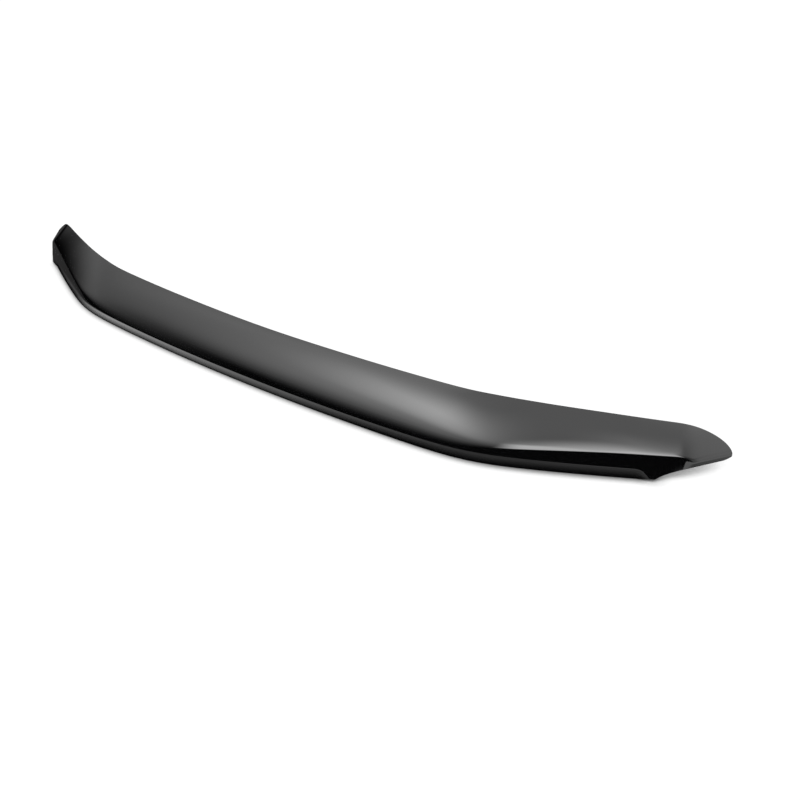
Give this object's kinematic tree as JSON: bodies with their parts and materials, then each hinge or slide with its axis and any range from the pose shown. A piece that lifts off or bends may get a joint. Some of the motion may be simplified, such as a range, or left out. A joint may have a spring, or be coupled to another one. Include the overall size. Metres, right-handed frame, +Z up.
{
  "type": "hood bug deflector",
  "caption": "Smoke acrylic shield that sticks along the front edge of a vehicle's hood and turns insects and grit up and over it.",
  "frame": {"origin": "under the middle of the part's overall size, at the height of the shield's lower edge, which it stands on", "axes": "+X across the vehicle, -Y to the road ahead, +Z up"},
  "size_m": [1.4998, 0.212, 0.0744],
  "materials": {
    "smoke_acrylic": "dark smoke, polished",
    "foam_tape": "matt closed-cell foam",
    "bumper_rubber": "matt"
  },
  "bodies": {
    "root": {"shield": "smoke_acrylic", "tape_pad_right_1": "foam_tape", "tape_pad_right_2": "foam_tape", "tape_pad_right_3": "foam_tape", "tape_pad_right_4": "foam_tape", "tape_pad_right_5": "foam_tape", "tape_pad_right_6": "foam_tape", "tape_pad_left_1": "foam_tape", "tape_pad_left_2": "foam_tape", "tape_pad_left_3": "foam_tape", "tape_pad_left_4": "foam_tape", "tape_pad_left_5": "foam_tape", "tape_pad_left_6": "foam_tape", "bumper_right_1": "bumper_rubber", "bumper_right_2": "bumper_rubber", "bumper_right_3": "bumper_rubber", "bumper_left_1": "bumper_rubber", "bumper_left_2": "bumper_rubber", "bumper_left_3": "bumper_rubber"}
  },
  "joints": []
}
